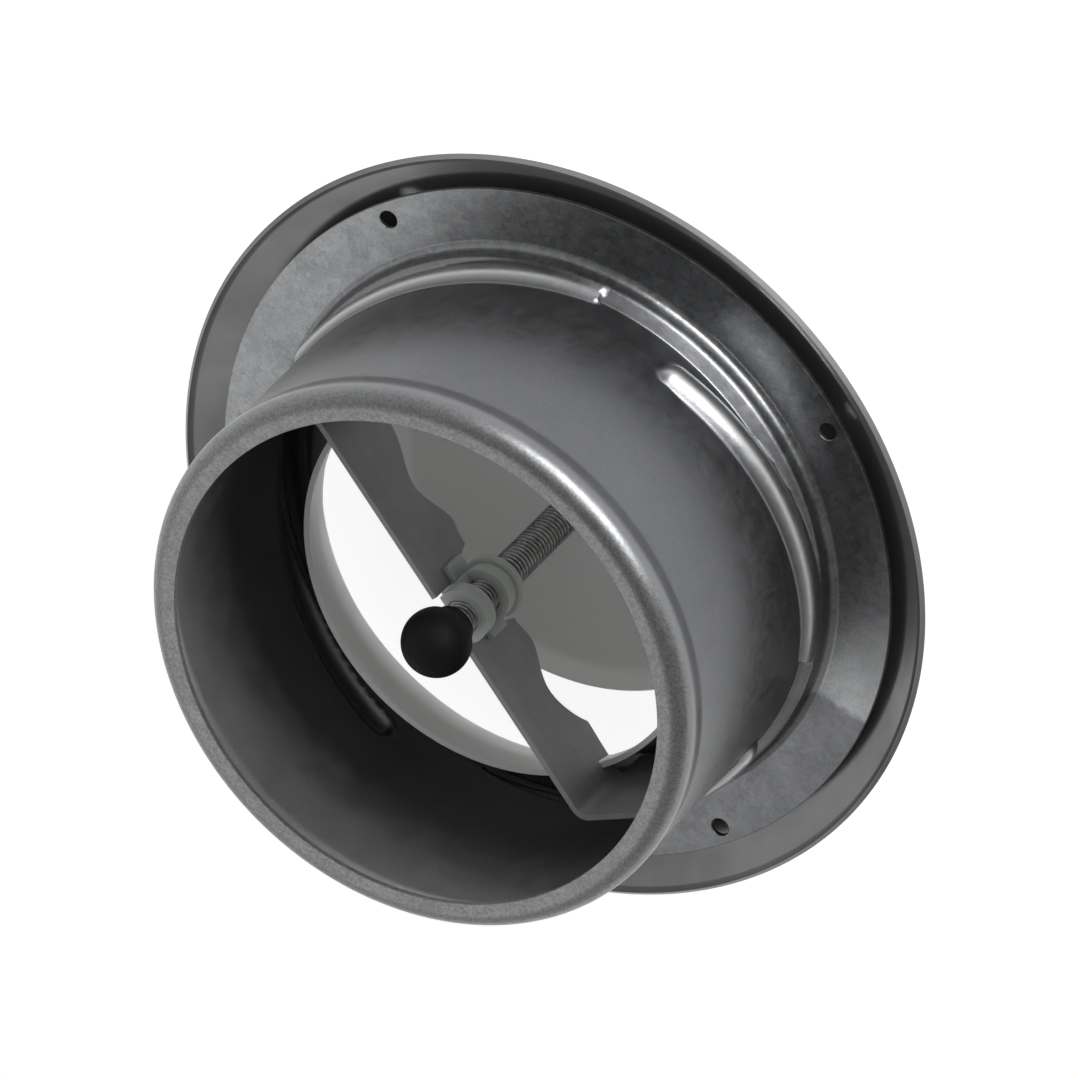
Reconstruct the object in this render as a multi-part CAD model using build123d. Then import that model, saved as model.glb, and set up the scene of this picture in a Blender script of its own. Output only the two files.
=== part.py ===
from build123d import *
import os
from math import cos, radians, sin, sqrt, tan

# Disc valve for a round duct, with its mounting frame. Millimetres.
# Z is the duct axis and points into the duct, and the room is below. The origin is on the axis, in the
# ceiling plane, which is the back face of the frame's flange. The bridge strip runs along X.

# Mounting frame, one deep-drawn sheet
frame_sheet = 0.9
spigot_radius = 48.8
spigot_length = 50.6
bead_swell = 0.5
bead_height = 6.2
bead_run = 0.8
lip_width = 4.7
shoulder_bend = 3.6
flange_width = 12.7
flange_bend = 2.0
collar_swell = 2.0
collar_height = 3.0
collar_bend = 1.0
screw_inset = 3.0
screw_hole_radius = 1.55
screw_hole_count = 4
screw_hole_angle = -6.0

# Bayonet grooves, pressed outward in the spigot wall
groove_count = 4
groove_start_angle = 40.0
groove_sweep_angle = 68.0
groove_start_height = 2.9
groove_rise = 7.8
groove_half_width = 2.6
groove_depth = 1.7

# Valve ring, one pressed sheet
ring_sheet = 1.0
rim_overhang = 7.0
rim_height = 1.2
rim_width = 9.5
throat_inset = 12.9
throat_height = 19.7
throat_lean = 5.6
mouth_corner_height = 3.2
mouth_bend = 31.0
front_corner_height = -7.8
front_bend = 10.0

# Bridge strip, on edge beside the spindle
strip_sheet = 1.0
strip_offset = 4.5
strip_top = 31.4
strip_bottom = 16.6
strip_reach = 3.6
strip_bend = 2.5
arch_height = 3.5
arch_place = 19.9
arch_half_width = 7.9
arch_foot = 0.4
lobe_place = 11.8
shoulder_place = 7.4
shoulder_height = 0.8
waist_height = 3.2
waist_half_width = 6.6
notch_half_width = 4.3
notch_depth = 5.4
pad_length = 6.4
pad_drop = 3.4
dimple_clearance = 0.35
ring_clearance = 0.35

# Spindle nut, clipped on the strip
nut_radius = 4.8
nut_height = 12.2
nut_drop = 9.8
brim_radius = 5.5
brim_sheet = 1.5
brim_dip_radius = 0.7
window_height = 4.8
window_rise = 4.4
wing_length = 14.3
saddle_sheet = 1.1
grip_height = 4.8
grip_clearance = 0.05
edge_round = 0.3

# Spindle and stop cap
thread_radius = 3.0
thread_clearance = 0.06
spindle_in_cap = 1.6
foot_radius = 6.0
foot_height = 1.2
cap_radius = 5.9
cap_neck_length = 6.0
cap_neck_radius = 3.7
cap_collar_length = 0.8
cap_gap = 2.9
cap_brow = 2.4

# Disc, one pressed sheet
disc_sheet = 1.0
disc_overlap = 0.7
disc_edge_height = -10.5
disc_depth = 2.2
disc_rim_width = 3.6
disc_bend = 3.5

# Share of a leg that its bends may use, and how far a cut runs past its piece
full_leg = 0.98
cut_past = 1.0


# Sizes that follow from those above
spigot_bore = spigot_radius - frame_sheet
flange_radius = spigot_radius + flange_width
screw_circle_radius = flange_radius - screw_inset
ring_radius = flange_radius + rim_overhang
throat_radius = spigot_radius - throat_inset
groove_radius = (groove_half_width**2 + groove_depth**2) / (2 * groove_depth)
groove_center = spigot_bore + groove_depth - groove_radius
groove_pitch = groove_rise * 360 / groove_sweep_angle
groove_end_angle = groove_start_angle + groove_sweep_angle - 90
groove_end_height = groove_start_height + groove_rise
strip_half_span = throat_radius + strip_reach
strip_face = strip_sheet / 2 - strip_offset
strip_back = -strip_sheet / 2 - strip_offset
notch_floor = strip_top - notch_depth
brim_height = strip_top - nut_drop
nut_bore = thread_radius + thread_clearance
nut_top = brim_height + nut_height
cap_bottom = nut_top + cap_gap
cap_height = cap_bottom + cap_neck_length
spindle_top = cap_height + spindle_in_cap
disc_radius = throat_radius + disc_overlap
disc_floor = disc_edge_height - disc_depth


def bent_line(points, bends):
    """Straight legs joined by bends, each no larger than its two legs leave room for."""
    corners = [Vector(*point) for point in points]
    legs = [end - start for start, end in zip(corners, corners[1:])]
    turns = [radians(leg.get_angle(after)) for leg, after in zip(legs, legs[1:])]
    needs = [bend * tan(turn / 2) for bend, turn in zip(bends, turns)]
    taken = [sum(pair) for pair in zip([0] + needs, needs + [0])]
    room = [min(1, full_leg * leg.length / used) for leg, used in zip(legs, taken)]
    fitted = [bend * min(pair) for bend, pair in zip(bends, zip(room, room[1:]))]
    return FilletPolyline(*corners, radius=fitted)


def pressed_section(points, bends, thickness):
    """Half section of a pressed sheet along its middle line, radius then height."""
    return trace(bent_line(points, bends), line_width=thickness)


def spin(section):
    return revolve(Plane.XZ * section, Axis.Z, 360)


def cylinder(radius, low, high):
    return Pos(0, 0, low) * Cylinder(radius, high - low, align=(Align.CENTER, Align.CENTER, Align.MIN))


def block(low, high):
    """Box between two corners."""
    size = Vector(*high) - Vector(*low)
    center = (Vector(*high) + Vector(*low)) / 2
    return Pos(center) * Box(size.X, size.Y, size.Z)


def turned(point, angle):
    """Plan point turned about the axis."""
    return Vector(*point).rotate(Axis.Z, angle)


def groove_form(extra):
    """Helical bead of one groove with its round end, grown by extra."""
    path = Helix(groove_pitch, groove_rise, groove_center)
    start = Plane(origin=path @ 0, z_dir=path % 0)
    bead = sweep(start * Circle(groove_radius + extra), path=path, is_frenet=True)
    nose = Pos(path @ 1) * Sphere(groove_radius + extra)
    return Pos(0, 0, groove_start_height) * (bead + nose)


def mounting_frame():
    wall = spigot_radius - frame_sheet / 2
    flange_level = -frame_sheet / 2
    end_level = spigot_length - frame_sheet / 2
    bead_level = spigot_length - bead_height
    points = [
        (flange_radius, flange_level),
        (wall + collar_swell, flange_level),
        (wall + collar_swell, collar_height),
        (wall, collar_height + collar_swell),
        (wall, bead_level),
        (wall + bead_swell, bead_level + bead_run),
        (wall + bead_swell, end_level),
        (wall + bead_swell - lip_width, end_level),
    ]
    bends = [flange_bend, collar_bend, collar_bend, bead_run, bead_run, shoulder_bend]
    shell = spin(pressed_section(points, bends, frame_sheet))
    grooves = [
        Rot(0, 0, groove_start_angle + 360 * n / groove_count) for n in range(groove_count)
    ]
    outside = groove_form(frame_sheet)
    bore = cylinder(spigot_bore, -groove_radius, spigot_length)
    for place in grooves:
        shell += place * outside - bore
    inside = groove_form(0)
    for place in grooves:
        shell -= place * inside
    for n in range(screw_hole_count):
        angle = screw_hole_angle + 360 * n / screw_hole_count
        hole = cylinder(screw_hole_radius, -frame_sheet, frame_sheet)
        shell -= Rot(0, 0, angle) * Pos(screw_circle_radius, 0, 0) * hole
    return shell


def ring_line():
    """Middle line of the valve ring from the throat's rear edge to the rim."""
    lean = Vector(sin(radians(throat_lean)), -cos(radians(throat_lean)))
    throat_top = Vector(throat_radius, throat_height) - lean * ring_sheet
    reach = (throat_height - mouth_corner_height) / cos(radians(throat_lean))
    mouth_corner = Vector(throat_radius, throat_height) + lean * reach
    points = [
        (throat_top.X, throat_top.Y),
        (mouth_corner.X, mouth_corner.Y),
        (ring_radius - rim_width, front_corner_height),
        (ring_radius - ring_sheet / 2, rim_height),
    ]
    return points, [mouth_bend, front_bend]


def valve_ring(extra=0.0):
    """The pressed ring, its rear edge trimmed flat, grown by extra on each side."""
    points, bends = ring_line()
    body = spin(pressed_section(points, bends, ring_sheet + 2 * extra))
    return body - cylinder(ring_radius, throat_height, throat_height + 2 * ring_sheet)


def strip_path():
    """Plan of the strip from one pad to the other, which lies opposite it."""
    pad_radius = groove_center - strip_sheet / 2
    pad_start = turned((pad_radius, -pad_length / 2), groove_end_angle)
    pad_end = turned((pad_radius, pad_length / 2), groove_end_angle)
    points = [
        turned(pad_end, 180),
        turned(pad_start, 180),
        Vector(-strip_half_span, -strip_offset),
        Vector(strip_half_span, -strip_offset),
        pad_start,
        pad_end,
    ]
    return bent_line([(p.X, p.Y) for p in points], [strip_bend] * 4)


def strip_underside():
    """Area under the scalloped room edge of the strip, seen from the side."""
    low = groove_end_height - pad_drop - strip_sheet
    waist = strip_bottom + waist_height
    arch = strip_bottom + arch_height
    half = [
        (shoulder_place, strip_bottom + shoulder_height),
        (lobe_place, strip_bottom),
        (arch_place, arch),
        (arch_place + arch_half_width, strip_bottom + arch_foot),
        (strip_half_span, strip_bottom),
    ]
    other = [(-x, z) for x, z in reversed(half)]
    level = (1, 0)
    right = Spline(*half, tangents=[level, level])
    left = Spline(*other, tangents=[level, level])
    flat = Polyline(other[-1], (-waist_half_width, waist), (waist_half_width, waist), half[0])
    base = Polyline(half[-1], (half[-1][0], low), (other[0][0], low), other[0])
    return make_face([*left.edges(), *flat.edges(), *right.edges(), *base.edges()])


def bridge():
    foot_level = groove_end_height - pad_drop
    band = extrude(Pos(0, 0, foot_level) * trace(strip_path(), line_width=strip_sheet), strip_top - foot_level)
    under = extrude(Plane.XZ * strip_underside(), 2 * strip_offset, both=True)
    middle = block(
        (-strip_half_span, strip_back - strip_sheet, foot_level - strip_sheet),
        (strip_half_span, strip_face + strip_sheet / 2, strip_top),
    )
    band -= under & middle
    band -= block(
        (-notch_half_width, strip_back - strip_sheet, notch_floor),
        (notch_half_width, 0, strip_top + strip_sheet),
    )
    band -= valve_ring(ring_clearance)
    ball = groove_radius - dimple_clearance
    for side in (0, 180):
        place = Rot(0, 0, groove_end_angle + side) * Pos(groove_center, 0, groove_end_height)
        half = Pos(ball, 0, 0) * Box(2 * ball, 2 * ball, 2 * ball)
        band += place * (Sphere(ball) & half)
        band -= place * Sphere(ball - strip_sheet)
    return band


def spindle_nut():
    """Half tube round the thread with a brim and a window, joined to wings on the strip and a hook over it."""
    barrel = cylinder(nut_radius, brim_height, nut_top)
    brim = cylinder(brim_radius, brim_height, brim_height + brim_sheet)
    brim = fillet(brim.edges().filter_by(GeomType.CIRCLE), edge_round)
    for side in (-1, 1):
        dip = cylinder(brim_dip_radius, brim_height - cut_past, brim_height + brim_sheet + cut_past)
        brim -= Pos(side * brim_radius, strip_face + saddle_sheet + brim_dip_radius, 0) * dip
    wings = block(
        (-wing_length / 2, strip_face, notch_floor - grip_height),
        (wing_length / 2, strip_face + saddle_sheet, notch_floor),
    )
    wings = fillet(wings.edges().filter_by(Axis.Y), edge_round)
    behind = block(
        (-ring_radius, -ring_radius, brim_height - cut_past),
        (ring_radius, strip_face, nut_top + cut_past),
    )
    open_back = block(
        (-nut_radius, -nut_radius, notch_floor + saddle_sheet),
        (nut_radius, -nut_bore / 2, nut_top + cut_past),
    )
    grip = notch_half_width - grip_clearance
    saddle = block((-grip, strip_back - saddle_sheet, notch_floor), (grip, 0, notch_floor + saddle_sheet))
    hook = block((-grip, strip_back - saddle_sheet, notch_floor - grip_height), (grip, strip_back, notch_floor))
    window_floor = brim_height + window_rise
    window = block((-nut_radius, 0, window_floor), (nut_radius, nut_radius, window_floor + window_height))
    nut = barrel + brim + wings - behind - open_back + saddle + hook
    return nut - window - cylinder(nut_bore, brim_height - cut_past, nut_top + cut_past)


def spindle():
    rod = cylinder(thread_radius, disc_floor + disc_sheet / 2, spindle_top)
    foot = cylinder(foot_radius, disc_floor + disc_sheet / 2, disc_floor + disc_sheet / 2 + foot_height)
    return rod + foot


def stop_cap():
    """Ball-headed cap whose neck flares into the head, pressed on the spindle's end."""
    brow = (sqrt(cap_radius**2 - cap_brow**2), cap_height - cap_brow)
    collar = (cap_neck_radius, cap_bottom + cap_collar_length)
    inside = Polyline(collar, (cap_neck_radius, cap_bottom), (0, cap_bottom), (0, cap_height + cap_radius))
    head = RadiusArc((0, cap_height + cap_radius), brow, cap_radius)
    neck = TangentArc(collar, brow, tangent=(0, 1))
    body = spin(make_face([*inside.edges(), *head.edges(), *neck.edges()]))
    return body - cylinder(nut_bore, cap_bottom - cut_past, spindle_top)


def disc():
    points = [
        (0, disc_floor),
        (disc_radius - disc_rim_width, disc_floor),
        (disc_radius - disc_sheet / 2, disc_edge_height),
    ]
    return spin(pressed_section(points, [disc_bend], disc_sheet))


pieces = {
    "mounting_frame": mounting_frame(),
    "valve_ring": valve_ring(),
    "bridge": bridge(),
    "spindle_nut": spindle_nut(),
    "spindle": spindle(),
    "stop_cap": stop_cap(),
    "disc": disc(),
}

os.makedirs("parts", exist_ok=True)
for name, shape in pieces.items():
    export_step(shape, f"parts/{name}.step")
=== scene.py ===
from math import acos, asin, atan2, cos, degrees, pi, radians, sin, sqrt, tan

import bmesh
import bpy
import numpy as np
from mathutils import Matrix, Vector

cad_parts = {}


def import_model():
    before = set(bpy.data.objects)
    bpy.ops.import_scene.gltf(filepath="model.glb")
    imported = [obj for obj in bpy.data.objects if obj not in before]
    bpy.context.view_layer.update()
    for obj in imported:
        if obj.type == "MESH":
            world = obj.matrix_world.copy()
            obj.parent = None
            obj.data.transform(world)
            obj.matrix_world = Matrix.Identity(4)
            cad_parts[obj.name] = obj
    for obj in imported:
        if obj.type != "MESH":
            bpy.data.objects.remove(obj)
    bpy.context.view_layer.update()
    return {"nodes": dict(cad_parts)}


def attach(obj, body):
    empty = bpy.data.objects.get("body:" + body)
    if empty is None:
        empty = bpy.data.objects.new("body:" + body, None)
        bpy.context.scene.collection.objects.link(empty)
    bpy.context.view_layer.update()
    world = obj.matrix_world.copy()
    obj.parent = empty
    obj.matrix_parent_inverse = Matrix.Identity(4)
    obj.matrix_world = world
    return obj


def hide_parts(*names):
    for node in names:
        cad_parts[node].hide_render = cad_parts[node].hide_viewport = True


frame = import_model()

NODES = frame["nodes"]
MM = 0.001

# Sizes in millimetres and angles in degrees, the same as the solids have
FRAME_SHEET = 0.9
SPIGOT_RADIUS = 48.8
SPIGOT_LENGTH = 50.6
BEAD_SWELL = 0.5
BEAD_HEIGHT = 6.2
BEAD_RUN = 0.8
LIP_WIDTH = 4.7
SHOULDER_BEND = 3.6
FLANGE_RADIUS = 61.5
FLANGE_BEND = 2.0
COLLAR_SWELL = 2.0
COLLAR_HEIGHT = 3.0
COLLAR_BEND = 1.0
SCREW_CIRCLE_RADIUS = 58.5
SCREW_HOLE_RADIUS = 1.55
SCREW_HOLES = 4
SCREW_HOLE_ANGLE = -6.0
GROOVES = 4
GROOVE_START_ANGLE = 40.0
GROOVE_SWEEP_ANGLE = 68.0
GROOVE_START_HEIGHT = 2.9
GROOVE_RISE = 7.8
GROOVE_HALF_WIDTH = 2.6
GROOVE_DEPTH = 1.7
RING_SHEET = 1.0
RING_RADIUS = 68.5
RIM_HEIGHT = 1.2
THROAT_RADIUS = 35.9
THROAT_HEIGHT = 19.7
THROAT_LEAN = 5.6
MOUTH_CORNER_HEIGHT = 3.2
MOUTH_BEND = 31.0
FRONT_CORNER_RADIUS = 59.0
FRONT_CORNER_HEIGHT = -7.8
FRONT_BEND = 10.0
DISC_SHEET = 1.0
DISC_RADIUS = 36.6
DISC_EDGE_HEIGHT = -10.5
DISC_FLOOR = -12.7
DISC_RIM_WIDTH = 3.6
DISC_BEND = 3.5
FOOT_RADIUS = 6.0
FOOT_HEIGHT = 1.2
THREAD_RADIUS = 3.0
THREAD_PITCH = 1.0
CAP_BORE = 3.06
CAP_RADIUS = 5.9
CAP_BROW = 2.4
CAP_BOTTOM = 36.7
CAP_HEIGHT = 42.7
CAP_NECK_RADIUS = 3.7
CAP_COLLAR_LENGTH = 0.8
SPINDLE_IN_CAP = 1.6

# Fineness of the meshes
COLUMNS = 512
FINE_COLUMNS = 64
HOLE_COLUMNS = 48
THREAD_ROWS = 12
FRAME_STEPS = (1, 1, 1, 5, 26, 4, 3, 5)
RING_STEPS = (3, 3, 6)
DISC_STEPS = (8, 3)
HEAD_STEPS = 40
NECK_STEPS = 12
HEM_STEPS = 3
ARC_STEP = 9.0
CUT_EDGE_TURNS = (30, 60)
CUT_EDGE_POINTS = 2 * len(CUT_EDGE_TURNS)
FULL_LEG = 0.98
FLAT_ANGLE = 1.0
SHARP_ANGLE = 40.0
HOLED_SHARP_ANGLE = 35.0

# Distances in metres within which points are joined
WELD_DISTANCE = 1e-7
NODE_WELD_DISTANCE = 1e-6

# Softened edges and crossings, in millimetres, with angles in degrees
EDGE_ROUND = 0.14
NODE_EDGE_ROUND = 0.12
NODE_EDGE_ANGLE = 30.0
NODE_EDGE_STEPS = 2
GROOVE_TOP = 14.0
GROOVE_BLEND = 0.8
BEAD_FLOW = 8.0
HEAD_END_EASE = 2.0
NECK_START_EASE = 3.0

# Thread in millimetres: radius of its core, and the length over which it runs out at each end
THREAD_CORE = 2.45
THREAD_FADE = 0.8

# Thread profile in shares of its depth: height of the uncut crest, and fall of its flanks over a pitch
THREAD_CREST = 1.35
THREAD_FLANK = 3.2

# Range in which most of a cloud noise lies
CLOUDS = (0.3, 0.7)

# Millimetres over which faces that look to the axis pass into those that look away
FACING_BLUR = 5

# Galvanised sheet: tones, among them painted shade, painted reflection and painted highlight, sides in
# degrees, and the millimetres over which a tone sets in
SHEET_DARK = (0.15, 0.153, 0.158)
SHEET_PALE = (0.33, 0.334, 0.34)
# Painted shade: a darker tone for one side of the flange
SHEET_PAINTED_SHADE = (0.12, 0.122, 0.126)
# Painted reflection: lighter tones for the flange's other side
SHEET_PAINTED_REFLECTION = (0.22, 0.224, 0.23), (0.46, 0.465, 0.47)
# Tones of a paler patch on the flange beside a groove
SHEET_PATCH = (0.28, 0.284, 0.29), (0.5, 0.505, 0.51)
WALL_OUTSIDE = SHEET_DARK, (0.2, 0.203, 0.208)
# Painted light: the inside of the wall gets paler tones than the outside
WALL_INSIDE_PAINTED_LIGHT = (0.34, 0.344, 0.35), (0.46, 0.464, 0.47)
# Painted highlight on the pressed grooves and the collar
WALL_PAINTED_HIGHLIGHT = (0.48, 0.484, 0.49)
LIP_RUBBED = (0.21, 0.213, 0.217), (0.34, 0.343, 0.347)
# Side, reach and share of the flange's painted shade
PAINTED_SHADE_SIDE = 20
PAINTED_SHADE_REACH = (20, 60)
PAINTED_SHADE_SHARE = 0.6
# Side, reach and share of the flange's painted reflection
PAINTED_REFLECTION_SIDE = 190
PAINTED_REFLECTION_REACH = (20, 55)
PAINTED_REFLECTION_SHARE = 0.55
# Angles where the flange's paler patch starts and fades, its wobble, and its share
PALE_PATCH_START = (31.5, 33)
PALE_PATCH_FADE = (34, 52)
PALE_PATCH_WOBBLE = 3
PALE_PATCH_SHARE = 0.8
WALL_HEIGHTS = (1, 6)
# Heights and radii of the painted highlight on the grooves
PAINTED_HIGHLIGHT_HEIGHTS = (3.5, 6)
PAINTED_HIGHLIGHT_RADII = (SPIGOT_RADIUS + 0.3, SPIGOT_RADIUS + 1.2)
RUBBED_HEIGHTS = (SPIGOT_LENGTH - 3, SPIGOT_LENGTH - 1)
RUBBED_DULLNESS = 0.08
GRAIN_SHARE = 0.7
SPANGLE_SHARE = 0.4
SPANGLE_SHEEN = 0.15
SHEET_ROUGHNESS = (0.28, 0.4)

# Back of the ring, paler on one side as painted light
RING_DULL = (0.15, 0.152, 0.155), (0.21, 0.212, 0.215)
# Painted light: a paler tone for the side where the ring's hollow lies in shade
RING_PAINTED_LIGHT = (0.42, 0.423, 0.426)
RING_PAINTED_LIGHT_SIDE = 105
RING_PAINTED_LIGHT_REACH = (15, 65)
RING_EASE = 0.8
RING_EASE_END = (RING_RADIUS - 1.8, RING_RADIUS - 0.8)
RING_ROUGHNESS = (0.2, 0.27)

# Paint, zinc plate, nut, thread and cap, with painted shade in the nut's tone and in the thread's grooves
PAINT = (0.88, 0.88, 0.87)
PAINT_SHADE = 0.93
PAINT_SHADE_RANGE = (0.96, 1.0)
PAINT_ROUGHNESS = (0.3, 0.38)
ZINC = (0.27, 0.273, 0.27), (0.36, 0.363, 0.36)
ZINC_STRETCH = (0.12, 1, 1)
ZINC_ROUGHNESS = (0.42, 0.52)
# Painted shade: white plastic given the grey-green tone of its shaded look
NUT_PAINTED_SHADE = (0.5, 0.53, 0.5), (0.62, 0.65, 0.62)
NUT_ROUGHNESS = 0.42
NUT_GLOW = 0.35
NUT_GLOW_DEPTH = 2.0
# Painted shade: dark tone for the thread's grooves
THREAD_PAINTED_SHADE = (0.05, 0.048, 0.045)
THREAD_WORN = (0.3, 0.296, 0.29), (0.5, 0.493, 0.485)
THREAD_EDGE = 0.05
THREAD_ROUGHNESS = (0.24, 0.36)
CAP = (0.006, 0.006, 0.007)
CAP_GLOSS = 0.15
CAP_ROUGHNESS = (0.55, 0.66)

# The floor, in metres, and how much of it is plain white to the camera
FLOOR_SIZE = 3.0
FLOOR_CLOTH = (0.88, 0.88, 0.88), (0.92, 0.92, 0.92)
FLOOR_WHITE = 0.62
FLOOR_GLOW = 1.4
WHITE = (1, 1, 1, 1)

# Height of a direction, from horizon 0 to zenith 1, and how bright the world is there
WORLD_LEVELS = ((0.0, 0.75), (0.5, 0.62), (0.77, 0.52), (0.95, 0.36), (1.0, 0.32))
WORLD_BRIGHT_SIDE = 240.0
WORLD_DARK_SHARE = 0.3

# Distance of the lights in metres
SOFTBOX_DISTANCE = 1.2

# The camera, from the photo's ellipses
PHOTO_SIZE = 1080
PIXELS_PER_MM = 6.069
CAMERA_DISTANCE = 3300.0
DUCT_AXIS_TILT = 39.6
CAMERA_HEADING = 104.6
DUCT_AXIS_DIRECTION = 224.8
ORIGIN_PIXEL = (554.8, 524.7)
SENSOR_WIDTH = 36.0
CLIP_END = 100


def placed(name, data):
    """An object in the scene that holds the mesh, light or camera."""
    obj = bpy.data.objects.new(name, data)
    bpy.context.scene.collection.objects.link(obj)
    return obj


def camera():
    """Looks at the valve from the duct side, with the duct axis pointing down and left in the picture."""
    tilt, azimuth = radians(DUCT_AXIS_TILT), radians(CAMERA_HEADING)
    back = Vector((sin(tilt) * cos(azimuth), sin(tilt) * sin(azimuth), cos(tilt)))
    along = (Vector((0, 0, 1)) - back * back.z).normalized()
    across = back.cross(along)
    turn = radians(DUCT_AXIS_DIRECTION)
    right = along * cos(turn) - across * sin(turn)
    up = along * sin(turn) + across * cos(turn)
    left_of_center = PHOTO_SIZE / 2 - ORIGIN_PIXEL[0]
    above_center = PHOTO_SIZE / 2 - ORIGIN_PIXEL[1]
    aim = (right * left_of_center - up * above_center) / PIXELS_PER_MM
    data = bpy.data.cameras.new("camera")
    data.sensor_width = SENSOR_WIDTH
    data.lens = PIXELS_PER_MM * CAMERA_DISTANCE / PHOTO_SIZE * SENSOR_WIDTH
    data.clip_end = CLIP_END
    obj = placed("camera", data)
    spot = (aim + back * CAMERA_DISTANCE) * MM
    axes = Matrix((right, up, back)).transposed().to_4x4()
    obj.matrix_world = Matrix.Translation(spot) @ axes
    bpy.context.scene.camera = obj


# Materials

def add_node(tree, kind, inputs=(), **settings):
    """A shader node whose inputs are given as sockets to link or as plain values."""
    made = tree.nodes.new(kind)
    for key, value in settings.items():
        setattr(made, key, value)
    for socket, value in dict(inputs).items():
        if isinstance(value, bpy.types.NodeSocket):
            tree.links.new(value, made.inputs[socket])
        else:
            made.inputs[socket].default_value = value
    return made


class Finish:
    """A procedural material on one Principled shader, with short calls that add its nodes."""

    def __init__(self, name, roughness=0.5, metallic=0.0):
        self.material = bpy.data.materials.new(name)
        self.material.use_nodes = True
        self.tree = self.material.node_tree
        self.shader = self.tree.nodes["Principled BSDF"]
        self.put("Roughness", roughness)
        self.put("Metallic", metallic)
        self.place = self.node("ShaderNodeTexCoord").outputs["Object"]

    def put(self, socket, value):
        self.shader.inputs[socket].default_value = value

    def drive(self, socket, value):
        self.tree.links.new(value, self.shader.inputs[socket])

    def node(self, kind, inputs=(), **settings):
        return add_node(self.tree, kind, inputs, **settings)

    def math(self, operation, a, b):
        return self.node("ShaderNodeMath", {0: a, 1: b}, operation=operation).outputs[0]

    def vector_math(self, operation, inputs, result):
        return self.node("ShaderNodeVectorMath", inputs, operation=operation).outputs[result]

    def remap(self, value, low, high, to_low=0.0, to_high=1.0):
        inputs = {"Value": value, "From Min": low, "From Max": high, "To Min": to_low, "To Max": to_high}
        return self.node("ShaderNodeMapRange", inputs).outputs["Result"]

    def between(self, length, start, end, to_low=0.0, to_high=1.0):
        """Share of the way that a length in metres has gone from start to end in millimetres."""
        return self.remap(length, start * MM, end * MM, to_low, to_high)

    def blend(self, share, first, second):
        made = self.node("ShaderNodeMix", {"Factor": share}, data_type="RGBA")
        for socket, value in ((made.inputs[6], first), (made.inputs[7], second)):
            if isinstance(value, bpy.types.NodeSocket):
                self.tree.links.new(value, socket)
            else:
                socket.default_value = (*value, 1)
        return made.outputs[2]

    def stretched(self, scale):
        return self.node("ShaderNodeMapping", {"Vector": self.place, "Scale": scale}).outputs[0]

    def noise(self, size, detail=3.0, roughness=0.55, distortion=0.0, place=None):
        """Cloud noise whose patches are about size millimetres wide, from 0 to 1."""
        inputs = {
            "Vector": place or self.place,
            "Scale": 1 / (size * MM),
            "Detail": detail,
            "Roughness": roughness,
            "Distortion": distortion,
        }
        return self.node("ShaderNodeTexNoise", inputs).outputs["Fac"]

    def cells(self, size):
        """A random level from 0 to 1 for each crystal about size millimetres wide."""
        inputs = {"Vector": self.place, "Scale": 1 / (size * MM)}
        return self.node("ShaderNodeTexVoronoi", inputs).outputs["Color"]

    def along_axis(self):
        """Height above the ceiling plane in metres."""
        return self.node("ShaderNodeSeparateXYZ", {0: self.place}).outputs["Z"]

    def from_axis(self):
        """Distance from the duct axis in metres."""
        return self.vector_math("LENGTH", {0: self.stretched((1, 1, 0))}, "Value")

    def toward(self, azimuth):
        """Distance in metres from the duct axis along one azimuth, less than 0 on the other side."""
        turn = radians(azimuth)
        return self.vector_math("DOT_PRODUCT", {0: self.place, 1: (cos(turn), sin(turn), 0)}, "Value")

    def turned_angle(self):
        """Angle round the duct axis in radians."""
        split = self.node("ShaderNodeSeparateXYZ", {0: self.place}).outputs
        return self.math("ARCTAN2", split["Y"], split["X"])

    def normal(self):
        return self.node("ShaderNodeNewGeometry").outputs["Normal"]

    def faces_out(self):
        """1 where the surface faces away from the duct axis and 0 where it faces the axis."""
        outward = self.vector_math("DOT_PRODUCT", {0: self.normal(), 1: self.stretched((1, 1, 0))}, "Value")
        return self.between(outward, -FACING_BLUR, FACING_BLUR)

    def leaned_normal(self, share):
        """The surface's normal, leaned towards the duct axis by a share."""
        made = self.node("ShaderNodeMix", {"Factor": share}, data_type="VECTOR")
        self.tree.links.new(self.normal(), made.inputs[4])
        made.inputs[5].default_value = (0, 0, 1)
        return self.vector_math("NORMALIZE", {0: made.outputs[1]}, "Vector")

    def bump(self, height, depth, normal=None):
        """Bump of about depth millimetres where height runs from 0 to 1."""
        inputs = {"Height": height, "Distance": depth * MM, "Strength": 1.0}
        if normal:
            inputs["Normal"] = normal
        self.drive("Normal", self.node("ShaderNodeBump", inputs).outputs[0])


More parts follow.
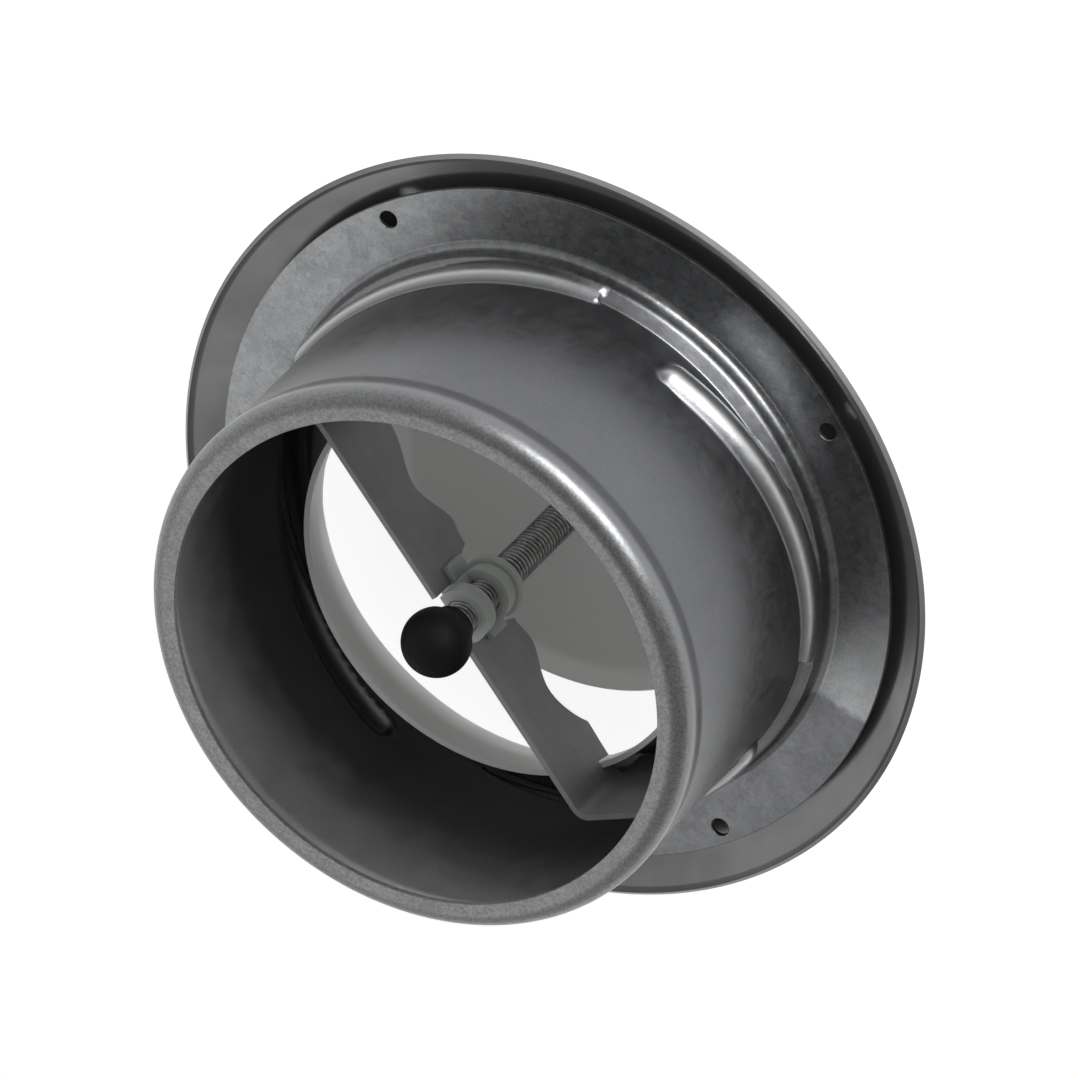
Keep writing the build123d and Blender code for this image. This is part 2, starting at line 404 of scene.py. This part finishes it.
def flange_tones(finish, clouds, grain, speckle):
    """The flat flange: spangled, with painted shade darkening one side, a painted reflection lightening the
    other, and paler in a patch beside a groove.
    """
    tone = finish.remap(finish.math("ADD", clouds, speckle), 0.7, 1.4)
    flat = finish.blend(tone, SHEET_DARK, SHEET_PALE)
    # Painted shade: the flange darkens towards one side
    painted_shade = finish.between(finish.toward(PAINTED_SHADE_SIDE), *PAINTED_SHADE_REACH, 0, PAINTED_SHADE_SHARE)
    flat = finish.blend(painted_shade, flat, SHEET_PAINTED_SHADE)
    turned = finish.turned_angle()
    wobble = finish.math("MULTIPLY", finish.noise(size=1.5), radians(PALE_PATCH_WOBBLE))
    # A paler patch on the flange beside a groove
    patch_mask = finish.remap(finish.math("ADD", turned, wobble), *np.radians(PALE_PATCH_START))
    fade = finish.remap(turned, *np.radians(PALE_PATCH_FADE), PALE_PATCH_SHARE, 0)
    flat = finish.blend(finish.math("MULTIPLY", patch_mask, fade), flat, finish.blend(grain, *SHEET_PATCH))
    # Painted reflection: the flange grows lighter towards its other side
    bright = finish.between(finish.toward(PAINTED_REFLECTION_SIDE), *PAINTED_REFLECTION_REACH, 0, PAINTED_REFLECTION_SHARE)
    return finish.blend(bright, flat, finish.blend(speckle, *SHEET_PAINTED_REFLECTION))


def wall_tones(finish, clouds, grain, height):
    """The drawn wall: paler inside than outside as painted light, and a painted highlight on the pressed
    grooves and the collar.
    """
    smooth = finish.remap(finish.math("ADD", clouds, grain), 0.5, 1.5)
    facing_out = finish.faces_out()
    # Painted light: faces towards the axis take the paler inside tones
    drawn = finish.blend(facing_out, finish.blend(smooth, *WALL_INSIDE_PAINTED_LIGHT), finish.blend(smooth, *WALL_OUTSIDE))
    # Painted highlight: the raised groove and collar faces are made paler
    pressed = finish.between(finish.from_axis(), *PAINTED_HIGHLIGHT_RADII)
    pressed = finish.math("MULTIPLY", pressed, finish.between(height, *PAINTED_HIGHLIGHT_HEIGHTS))
    pressed = finish.math("MULTIPLY", pressed, facing_out)
    return finish.blend(pressed, drawn, WALL_PAINTED_HIGHLIGHT)


def galvanised_finish():
    """Deep-drawn galvanised sheet: cloudy grey with fine grain and spangle, rubbed pale at the lip, and
    painted light and shade on the flange and wall.
    """
    finish = Finish("galvanised_sheet", metallic=1.0)
    height = finish.along_axis()
    clouds = finish.noise(size=14, detail=4, roughness=0.6, distortion=0.4)
    grain = finish.noise(size=0.45, detail=2)
    spangle = finish.cells(size=1.1)
    flecks = finish.math("MULTIPLY", spangle, SPANGLE_SHARE)
    speckle = finish.math("ADD", finish.math("MULTIPLY", grain, GRAIN_SHARE), flecks)
    flat = flange_tones(finish, clouds, grain, speckle)
    drawn = wall_tones(finish, clouds, grain, height)
    # Mottled tones, with the painted shade, reflection and highlight of the flange and wall
    mottle_and_painted_light = finish.blend(finish.between(height, *WALL_HEIGHTS), flat, drawn)
    rubbed = finish.between(height, *RUBBED_HEIGHTS)
    scuffed = finish.blend(finish.remap(grain, *CLOUDS), *LIP_RUBBED)
    finish.drive("Base Color", finish.blend(rubbed, mottle_and_painted_light, scuffed))
    patches = finish.noise(size=5, detail=5, roughness=0.65, distortion=0.8)
    worn = finish.math("ADD", patches, finish.math("MULTIPLY", spangle, SPANGLE_SHEEN))
    sheen = finish.remap(worn, 0.35, 0.85, *SHEET_ROUGHNESS)
    finish.drive("Roughness", finish.math("ADD", sheen, finish.math("MULTIPLY", rubbed, RUBBED_DULLNESS)))
    finish.bump(finish.math("ADD", grain, patches), depth=0.014)
    return finish.material


def ring_back_finish():
    """The ring's duct side: smooth zinc that mirrors the flange, shaded flatter than its form, and painted
    paler on one side as painted light.
    """
    finish = Finish("ring_back", metallic=0.7)
    clouds = finish.remap(finish.noise(size=18), 0.35, 0.7)
    dull = finish.blend(clouds, *RING_DULL)
    # Painted light: the ring's back turns paler towards one side
    side = finish.between(finish.toward(RING_PAINTED_LIGHT_SIDE), *RING_PAINTED_LIGHT_REACH)
    finish.drive("Base Color", finish.blend(side, dull, RING_PAINTED_LIGHT))
    finish.drive("Roughness", finish.remap(finish.noise(size=6, detail=4), *CLOUDS, *RING_ROUGHNESS))
    lean = finish.between(finish.from_axis(), *RING_EASE_END, RING_EASE, 0)
    finish.bump(finish.noise(size=0.8, detail=2), depth=0.004, normal=finish.leaned_normal(lean))
    return finish.material


def paint_finish(name):
    """Smooth powder coat with its faint orange peel."""
    finish = Finish(name)
    shade = finish.remap(finish.noise(size=22), *CLOUDS, *PAINT_SHADE_RANGE)
    tinted = [channel * PAINT_SHADE for channel in PAINT]
    finish.drive("Base Color", finish.blend(shade, tinted, PAINT))
    finish.drive("Roughness", finish.remap(finish.noise(size=9), *CLOUDS, *PAINT_ROUGHNESS))
    finish.bump(finish.noise(size=1.3, detail=1), depth=0.008)
    return finish.material


def zinc_finish():
    """Matt zinc plate of the bridge strip, with faint rolling marks."""
    finish = Finish("zinc_strip", metallic=0.15)
    clouds = finish.noise(size=10, detail=4, roughness=0.6)
    marks = finish.noise(size=2.0, place=finish.stretched(ZINC_STRETCH))
    tone = finish.remap(finish.math("ADD", clouds, finish.math("MULTIPLY", marks, 0.5)), 0.5, 1.0)
    finish.drive("Base Color", finish.blend(tone, *ZINC))
    finish.drive("Roughness", finish.remap(clouds, *CLOUDS, *ZINC_ROUGHNESS))
    finish.bump(marks, depth=0.006)
    return finish.material


def nut_finish():
    """Moulded plastic that lets a little light through, white but coloured grey-green as painted shade."""
    finish = Finish("nut_plastic", roughness=NUT_ROUGHNESS)
    # Painted shade: the nut's grey-green tone stands for white plastic in shade
    finish.drive("Base Color", finish.blend(finish.noise(size=3, detail=2), *NUT_PAINTED_SHADE))
    finish.put("Subsurface Weight", NUT_GLOW)
    finish.put("Subsurface Radius", (NUT_GLOW_DEPTH * MM,) * 3)
    finish.put("Subsurface Scale", 1.0)
    finish.bump(finish.noise(size=0.4, detail=2), depth=0.006)
    return finish.material


def thread_finish():
    """Oiled steel thread: its worn steel tone on the crests, and painted shade dark in its grooves."""
    finish = Finish("spindle_steel", metallic=1.0)
    wear = finish.remap(finish.noise(size=1.6, detail=4), *CLOUDS)
    # Painted shade: the grooves between the crests are dark
    crest = finish.between(finish.from_axis(), THREAD_CORE + THREAD_EDGE, THREAD_RADIUS - THREAD_EDGE)
    finish.drive("Base Color", finish.blend(crest, THREAD_PAINTED_SHADE, finish.blend(wear, *THREAD_WORN)))
    finish.drive("Roughness", finish.remap(wear, 0, 1, *THREAD_ROUGHNESS))
    finish.bump(finish.noise(size=0.3, detail=2), depth=0.006)
    return finish.material


def cap_finish():
    """Matt black moulded plastic."""
    finish = Finish("cap_plastic")
    finish.put("Base Color", (*CAP, 1))
    finish.put("Specular IOR Level", CAP_GLOSS)
    finish.drive("Roughness", finish.remap(finish.noise(size=1.2), *CLOUDS, *CAP_ROUGHNESS))
    finish.bump(finish.noise(size=0.35, detail=2), depth=0.01)
    return finish.material


# Meshes of the pressed sheets

def unit_leg(start, end):
    return (end - start) / np.linalg.norm(end - start)


def fitted_bends(corners, bends):
    """Bend radii, each no larger than its two legs leave room for."""
    legs = [end - start for start, end in zip(corners, corners[1:])]
    length = [np.linalg.norm(leg) for leg in legs]
    turns = [turn_between(a / m, b / n) for a, b, m, n in zip(legs, legs[1:], length, length[1:])]
    needs = [bend * tan(turn / 2) for bend, turn in zip(bends, turns)]
    taken = [a + b for a, b in zip([0] + needs, needs + [0])]
    room = [min(1, FULL_LEG * leg / used) if used else 1 for leg, used in zip(length, taken)]
    return [bend * min(pair) for bend, pair in zip(bends, zip(room, room[1:]))]


def turn_between(first, second):
    return acos(max(-1, min(1, float(first @ second))))


def middle_line(points, bends, steps):
    """Rows of radius, height and the direction along a bent sheet's middle line.

    A corner with no bend only starts another leg, and steps says how finely each leg is cut."""
    corners = [np.array(point, float) for point in points]
    radii = fitted_bends(corners, bends)
    rows = []
    start = corners[0]
    for index, (before, at, after) in enumerate(zip(corners, corners[1:], corners[2:])):
        u, v = unit_leg(before, at), unit_leg(at, after)
        turn, bend = turn_between(u, v), radii[index]
        reach = bend * tan(turn / 2)
        end = at - u * reach
        rows += [(*(start + (end - start) * share), *u) for share in np.linspace(0, 1, steps[index] + 1)[:-1]]
        if bend:
            side = 1 if u[0] * v[1] - u[1] * v[0] > 0 else -1
            center = end + side * bend * np.array((-u[1], u[0]))
            for share in np.linspace(0, 1, max(2, round(degrees(turn) / ARC_STEP)) + 1)[:-1]:
                c, s = cos(side * turn * share), sin(side * turn * share)
                rotate = np.array(((c, -s), (s, c)))
                rows.append((*(center + rotate @ (end - center)), *(rotate @ u)))
        start = at + v * reach
    rows += [(*(start + (corners[-1] - start) * share), *v) for share in np.linspace(0, 1, steps[-1] + 1)]
    return np.array(rows)


def sheet_loop(line, sheet):
    """Closed section of a sheet with rounded cut edges: points, and 0 or 1 for its right or left side."""
    half = sheet / 2
    place, along = line[:, :2].copy(), line[:, 2:]
    right = np.stack((along[:, 1], -along[:, 0]), -1)
    place[0] += along[0] * EDGE_ROUND
    place[-1] -= along[-1] * EDGE_ROUND

    def cut_edge(at, out, first):
        points = []
        for corner_side, turns in ((first, CUT_EDGE_TURNS), (-first, CUT_EDGE_TURNS[::-1])):
            corner = place[at] + corner_side * (half - EDGE_ROUND)
            for turn in map(radians, turns):
                points.append(corner + EDGE_ROUND * (cos(turn) * corner_side + sin(turn) * out))
        return points

    far = cut_edge(-1, along[-1], right[-1])
    near = cut_edge(0, -along[0], -right[0])
    loop = [*(place + right * half), *far, *(place - right * half)[::-1], *near]
    right_side, left_side = len(line) - 1, len(line) + CUT_EDGE_POINTS + 1
    side = [0] * right_side + [1] * left_side + [0] * CUT_EDGE_POINTS
    return np.array(loop), np.array(side)


def ring_of_points(loop, columns):
    """Grid of points of a section turned about the axis."""
    angles = np.linspace(0, 2 * pi, columns, endpoint=False)
    radius, height = loop[:, :1], loop[:, 1:]
    return np.stack((radius * np.cos(angles), radius * np.sin(angles), height + 0 * angles), -1)


def wrapped_mesh(name, places, closed=True):
    """Mesh of a grid of points by row and column. The columns close, and so do the rows where closed."""
    rows, columns = places.shape[:2]
    index = np.arange(rows * columns).reshape(rows, columns)
    below = np.roll(index, -1, 0)
    beside, diagonal = np.roll(index, -1, 1), np.roll(below, -1, 1)
    faces = np.stack((index, beside, diagonal, below), -1)[: rows if closed else rows - 1].reshape(-1, 4)
    mesh = bpy.data.meshes.new(name)
    mesh.from_pydata((places.reshape(-1, 3) * MM).tolist(), [], faces.tolist())
    welded = bmesh.new()
    welded.from_mesh(mesh)
    bmesh.ops.remove_doubles(welded, verts=welded.verts, dist=WELD_DISTANCE)
    bmesh.ops.recalc_face_normals(welded, faces=welded.faces)
    welded.to_mesh(mesh)
    welded.free()
    mesh.shade_smooth()
    mesh.set_sharp_from_angle(angle=radians(SHARP_ANGLE))
    return mesh


def add_piece(name, mesh, materials, body, replaced):
    for material in materials:
        mesh.materials.append(material)
    piece = placed(name, mesh)
    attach(piece, body)
    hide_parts(replaced)
    return piece


def groove_swell(angles, heights, grow):
    """Radius of the pressed grooves' surface at each angle and height, 0 where there is no groove."""
    bead = (GROOVE_HALF_WIDTH**2 + GROOVE_DEPTH**2) / (2 * GROOVE_DEPTH)
    center = SPIGOT_RADIUS - FRAME_SHEET + GROOVE_DEPTH - bead
    sweep = radians(GROOVE_SWEEP_ANGLE)
    slope = GROOVE_RISE / (sweep * center)
    lead = cos(atan2(slope, 1))
    into = (angles - radians(GROOVE_START_ANGLE)) % (2 * pi / GROOVES)
    past = np.maximum(into - sweep, 0) * center
    along = np.minimum(into, sweep) * center
    away = (heights - GROOVE_START_HEIGHT - slope * along) * lead
    room = (bead + grow) ** 2 - away**2 - past**2
    return np.where(room > 0, center + np.sqrt(np.maximum(room, 0)), 0)


def blended(first, second, reach):
    """The larger of two radii, with a soft fillet where they cross."""
    near = np.maximum(reach - np.abs(first - second), 0) / reach
    return np.maximum(first, second) + near**2 * reach / 4


def cut_holes(mesh):
    """Screw holes through the flange, each with a small chamfer round both rims."""
    half, chamfer = FRAME_SHEET / 2, EDGE_ROUND
    flare = SCREW_HOLE_RADIUS + 2 * chamfer
    outline = [
        (0, half + chamfer),
        (flare, half + chamfer),
        (SCREW_HOLE_RADIUS, half - chamfer),
        (SCREW_HOLE_RADIUS, chamfer - half),
        (flare, -half - chamfer),
        (0, -half - chamfer),
    ]
    points = ring_of_points(np.array(outline, float), HOLE_COLUMNS)
    target = placed("target", mesh)
    cutters = []
    for n in range(SCREW_HOLES):
        angle = radians(SCREW_HOLE_ANGLE) + 2 * pi * n / SCREW_HOLES
        spot = Vector((SCREW_CIRCLE_RADIUS * cos(angle), SCREW_CIRCLE_RADIUS * sin(angle), -half))
        cutter = placed("cutter", wrapped_mesh("cutter", points, closed=False))
        cutter.matrix_world = Matrix.Translation(spot * MM)
        step = target.modifiers.new("hole", "BOOLEAN")
        step.operation, step.object, step.solver = "DIFFERENCE", cutter, "EXACT"
        cutters.append(cutter)
    shown = bpy.context.evaluated_depsgraph_get()
    holed = bpy.data.meshes.new_from_object(target.evaluated_get(shown))
    for spare in [target, *cutters]:
        bpy.data.objects.remove(spare)
    holed.set_sharp_from_angle(angle=radians(HOLED_SHARP_ANGLE))
    return holed


def mounting_frame():
    """The deep-drawn frame: flange, collar, wall with its pressed grooves, bead and turned-in lip."""
    wall = SPIGOT_RADIUS - FRAME_SHEET / 2
    flange_level, end_level = -FRAME_SHEET / 2, SPIGOT_LENGTH - FRAME_SHEET / 2
    bead_level = SPIGOT_LENGTH - BEAD_HEIGHT
    points = [
        (wall + BEAD_SWELL - LIP_WIDTH, end_level),
        (wall + BEAD_SWELL, end_level),
        (wall + BEAD_SWELL, bead_level + 3 * BEAD_RUN),
        (wall, bead_level - BEAD_RUN),
        (wall, GROOVE_TOP),
        (wall, COLLAR_HEIGHT + COLLAR_SWELL),
        (wall + COLLAR_SWELL, COLLAR_HEIGHT),
        (wall + COLLAR_SWELL, flange_level),
        (FLANGE_RADIUS, flange_level),
    ]
    bends = [SHOULDER_BEND, BEAD_FLOW, BEAD_FLOW, 0, COLLAR_BEND, COLLAR_BEND, FLANGE_BEND]
    loop, side = sheet_loop(middle_line(points, bends, FRAME_STEPS), FRAME_SHEET)
    places = ring_of_points(loop, COLUMNS)
    angles = np.linspace(0, 2 * pi, COLUMNS, endpoint=False)[None, :]
    grow = np.where(side == 1, FRAME_SHEET, 0)[:, None]
    radius = blended(loop[:, :1], groove_swell(angles, loop[:, 1:], grow), GROOVE_BLEND)
    places[..., 0], places[..., 1] = radius * np.cos(angles), radius * np.sin(angles)
    mesh = cut_holes(wrapped_mesh("mounting_frame_sheet", places))
    finishes = [galvanised_finish()]
    piece = add_piece("frame_sheet", mesh, finishes, "frame", "mounting_frame")
    normals = piece.modifiers.new("normals", "WEIGHTED_NORMAL")
    normals.keep_sharp = True


def valve_ring():
    """The pressed ring: painted on the room side, bare and glossy on the duct side."""
    lean = np.array((sin(radians(THROAT_LEAN)), -cos(radians(THROAT_LEAN))))
    reach = (THROAT_HEIGHT - MOUTH_CORNER_HEIGHT) / cos(radians(THROAT_LEAN))
    throat = np.array((THROAT_RADIUS, THROAT_HEIGHT))
    points = [
        throat,
        throat + lean * reach,
        (FRONT_CORNER_RADIUS, FRONT_CORNER_HEIGHT),
        (RING_RADIUS - RING_SHEET / 2, RIM_HEIGHT),
    ]
    loop, side = sheet_loop(middle_line(points, [MOUTH_BEND, FRONT_BEND], RING_STEPS), RING_SHEET)
    mesh = wrapped_mesh("valve_ring_sheet", ring_of_points(loop, COLUMNS))
    finishes = [paint_finish("painted_ring"), ring_back_finish()]
    piece = add_piece("ring_sheet", mesh, finishes, "ring", "valve_ring")
    for face, row_side in zip(piece.data.polygons, np.repeat(side, COLUMNS)):
        face.material_index = int(row_side)


def disc():
    """The pressed disc with its raised rim."""
    points = [
        (0, DISC_FLOOR),
        (DISC_RADIUS - DISC_RIM_WIDTH, DISC_FLOOR),
        (DISC_RADIUS - DISC_SHEET / 2, DISC_EDGE_HEIGHT),
    ]
    loop, _ = sheet_loop(middle_line(points, [DISC_BEND], DISC_STEPS), DISC_SHEET)
    loop = loop[:-CUT_EDGE_POINTS]
    loop[0, 0] = loop[-1, 0] = 0
    mesh = wrapped_mesh("disc_sheet", ring_of_points(loop, COLUMNS), closed=False)
    add_piece("disc_sheet", mesh, [paint_finish("painted_disc")], "disc", "disc")


def dressed_copy(node, material, body):
    """The CAD node's own form with small rounded edges, for a moulded or stamped piece."""
    mesh = NODES[node].data.copy()
    mesh.materials.clear()
    merged = bmesh.new()
    merged.from_mesh(mesh)
    bmesh.ops.remove_doubles(merged, verts=merged.verts, dist=NODE_WELD_DISTANCE)
    bmesh.ops.dissolve_limit(merged, angle_limit=radians(FLAT_ANGLE), verts=merged.verts, edges=merged.edges)
    merged.to_mesh(mesh)
    merged.free()
    piece = add_piece(node + "_form", mesh, [material], body, node)
    round_off = piece.modifiers.new("rounding", "BEVEL")
    round_off.width, round_off.segments = NODE_EDGE_ROUND * MM, NODE_EDGE_STEPS
    round_off.limit_method, round_off.angle_limit = "ANGLE", radians(NODE_EDGE_ANGLE)
    mesh.shade_smooth()
    normals = piece.modifiers.new("normals", "WEIGHTED_NORMAL")
    normals.weight = 100


def thread_radius(angles, heights, low, high):
    """Radius of the screw thread's surface, which runs out into the core near both ends."""
    phase = (heights / THREAD_PITCH - angles / (2 * pi)) % 1
    crest = np.clip(THREAD_CREST - np.abs(phase - 0.5) * THREAD_FLANK, 0, 1)
    ends = np.clip(np.minimum(heights - low, high - heights) / THREAD_FADE, 0, 1)
    return THREAD_CORE + (THREAD_RADIUS - THREAD_CORE) * crest * ends


def spindle():
    """The threaded rod on its foot."""
    low, high = DISC_FLOOR + DISC_SHEET / 2, CAP_HEIGHT + SPINDLE_IN_CAP
    start = low + FOOT_HEIGHT
    foot = [
        (0, low),
        (FOOT_RADIUS - EDGE_ROUND, low),
        (FOOT_RADIUS, low + EDGE_ROUND),
        (FOOT_RADIUS, start - EDGE_ROUND),
        (FOOT_RADIUS - EDGE_ROUND, start),
    ]
    count = round((high - start) / THREAD_PITCH * THREAD_ROWS)
    rod = [(THREAD_CORE, height) for height in np.linspace(start, high, count + 1)]
    loop = np.array([*foot, *rod, (0, high)], float)
    places = ring_of_points(loop, FINE_COLUMNS)
    angles = np.linspace(0, 2 * pi, FINE_COLUMNS, endpoint=False)[None, :]
    rows = slice(len(foot), len(loop) - 1)
    radius = thread_radius(angles, loop[rows, 1:], start, high)
    places[rows, :, 0], places[rows, :, 1] = radius * np.cos(angles), radius * np.sin(angles)
    mesh = wrapped_mesh("spindle_rod", places, closed=False)
    add_piece("spindle_rod", mesh, [thread_finish()], "disc", "spindle")


def arc(center, radius, first, last, steps):
    """Points on a circle from one angle to another, in degrees."""
    turns = np.radians(np.linspace(first, last, steps + 1))
    return [(center[0] + radius * cos(t), center[1] + radius * sin(t)) for t in turns]


def stop_cap():
    """The ball head with its flared neck."""
    brow_angle = -degrees(asin(CAP_BROW / CAP_RADIUS))
    brow = (sqrt(CAP_RADIUS**2 - CAP_BROW**2), CAP_HEIGHT - CAP_BROW)
    collar = (CAP_NECK_RADIUS, CAP_BOTTOM + CAP_COLLAR_LENGTH)
    out, rise = brow[0] - collar[0], brow[1] - collar[1]
    flare = (out**2 + rise**2) / (2 * out)
    opening = degrees(atan2(rise, flare - out))
    head = arc((0, CAP_HEIGHT), CAP_RADIUS, 90, brow_angle + HEAD_END_EASE, HEAD_STEPS)
    head[0] = (0, CAP_HEIGHT + CAP_RADIUS)
    neck_start = 180 - opening + NECK_START_EASE
    neck = arc((collar[0] + flare, collar[1]), flare, neck_start, 180, NECK_STEPS)
    hem = arc((CAP_NECK_RADIUS - EDGE_ROUND, CAP_BOTTOM + EDGE_ROUND), EDGE_ROUND, 0, -90, HEM_STEPS)
    high = CAP_HEIGHT + SPINDLE_IN_CAP
    inside = [(CAP_BORE, CAP_BOTTOM), (CAP_BORE, high), (0, high)]
    loop = np.array([*head, *neck, *hem, *inside], float)
    mesh = wrapped_mesh("stop_cap_form", ring_of_points(loop, FINE_COLUMNS), closed=False)
    add_piece("cap_form", mesh, [cap_finish()], "cap", "stop_cap")


# The studio

def floor():
    """Pale floor under the disc, which keeps the soft shadow and can't be seen from below."""
    finish = Finish("floor", roughness=1.0)
    finish.put("Specular IOR Level", 0.0)
    finish.drive("Base Color", finish.blend(finish.remap(finish.noise(size=60), *CLOUDS), *FLOOR_CLOTH))
    path = finish.node("ShaderNodeLightPath").outputs
    seen = finish.math("MAXIMUM", path["Is Camera Ray"], path["Is Glossy Ray"])
    seen = finish.math("MAXIMUM", seen, path["Is Transmission Ray"])
    share = finish.math("MULTIPLY", seen, FLOOR_WHITE)
    white = finish.node("ShaderNodeEmission", {"Color": WHITE, "Strength": FLOOR_GLOW}).outputs[0]
    mixed = finish.node("ShaderNodeMixShader", {0: share, 1: finish.shader.outputs[0], 2: white}).outputs[0]
    back = finish.node("ShaderNodeNewGeometry").outputs["Backfacing"]
    clear = finish.node("ShaderNodeBsdfTransparent").outputs[0]
    shown = finish.node("ShaderNodeMixShader", {0: back, 1: mixed, 2: clear}).outputs[0]
    finish.tree.links.new(shown, finish.tree.nodes["Material Output"].inputs[0])
    half, level = FLOOR_SIZE / 2, (DISC_FLOOR - DISC_SHEET / 2) * MM
    corners = [(-half, -half, level), (half, -half, level), (half, half, level), (-half, half, level)]
    mesh = bpy.data.meshes.new("floor")
    mesh.from_pydata(corners, [], [(0, 1, 2, 3)])
    mesh.materials.append(finish.material)
    obj = placed("floor", mesh)


def world():
    """White to the camera, and for light a bright horizon that falls off towards the zenith."""
    made = bpy.data.worlds.new("studio")
    bpy.context.scene.world = made
    made.use_nodes = True
    tree = made.node_tree
    tree.nodes.clear()
    direction = add_node(tree, "ShaderNodeTexCoord").outputs["Generated"]
    height = add_node(tree, "ShaderNodeSeparateXYZ", {0: direction}).outputs["Z"]
    ramp = add_node(tree, "ShaderNodeValToRGB", {0: height})
    stops = ramp.color_ramp.elements
    stops[0].position, stops[1].position = WORLD_LEVELS[0][0], WORLD_LEVELS[-1][0]
    for place, _ in WORLD_LEVELS[1:-1]:
        stops.new(place)
    for stop, (_, level) in zip(stops, WORLD_LEVELS):
        stop.color = (level, level, level, 1)
    turn = radians(WORLD_BRIGHT_SIDE)
    sides = {0: direction, 1: (cos(turn), sin(turn), 0)}
    facing = add_node(tree, "ShaderNodeVectorMath", sides, operation="DOT_PRODUCT").outputs["Value"]
    shares = {"Value": facing, "From Min": -1.0, "To Min": WORLD_DARK_SHARE}
    side = add_node(tree, "ShaderNodeMapRange", shares)
    light = add_node(tree, "ShaderNodeBackground", {0: ramp.outputs[0], 1: side.outputs["Result"]})
    white = add_node(tree, "ShaderNodeBackground", {0: WHITE})
    seen = add_node(tree, "ShaderNodeLightPath").outputs["Is Camera Ray"]
    mixed = add_node(tree, "ShaderNodeMixShader", {0: seen, 1: light.outputs[0], 2: white.outputs[0]})
    add_node(tree, "ShaderNodeOutputWorld", {0: mixed.outputs[0]})


def softbox(name, azimuth, elevation, size, radiance):
    """Rectangular area light turned to the valve, its size in metres."""
    data = bpy.data.lights.new(name, "AREA")
    data.shape = "RECTANGLE"
    data.size, data.size_y = size
    data.energy = radiance * pi * size[0] * size[1]
    turn, lift = radians(azimuth), radians(elevation)
    away = Vector((cos(lift) * cos(turn), cos(lift) * sin(turn), sin(lift)))
    facing = away.to_track_quat("Z", "Y").to_matrix().to_4x4()
    placed(name, data).matrix_world = Matrix.Translation(away * SOFTBOX_DISTANCE) @ facing


mounting_frame()
valve_ring()
disc()
spindle()
stop_cap()
dressed_copy("bridge", zinc_finish(), "bridge")
dressed_copy("spindle_nut", nut_finish(), "bridge")
floor()
world()
softbox("key", azimuth=104.6, elevation=12, size=(0.9, 0.6), radiance=9.0)
softbox("fill", azimuth=284, elevation=50, size=(0.8, 0.6), radiance=0.7)
camera()
bpy.context.scene.view_settings.view_transform = "Standard"
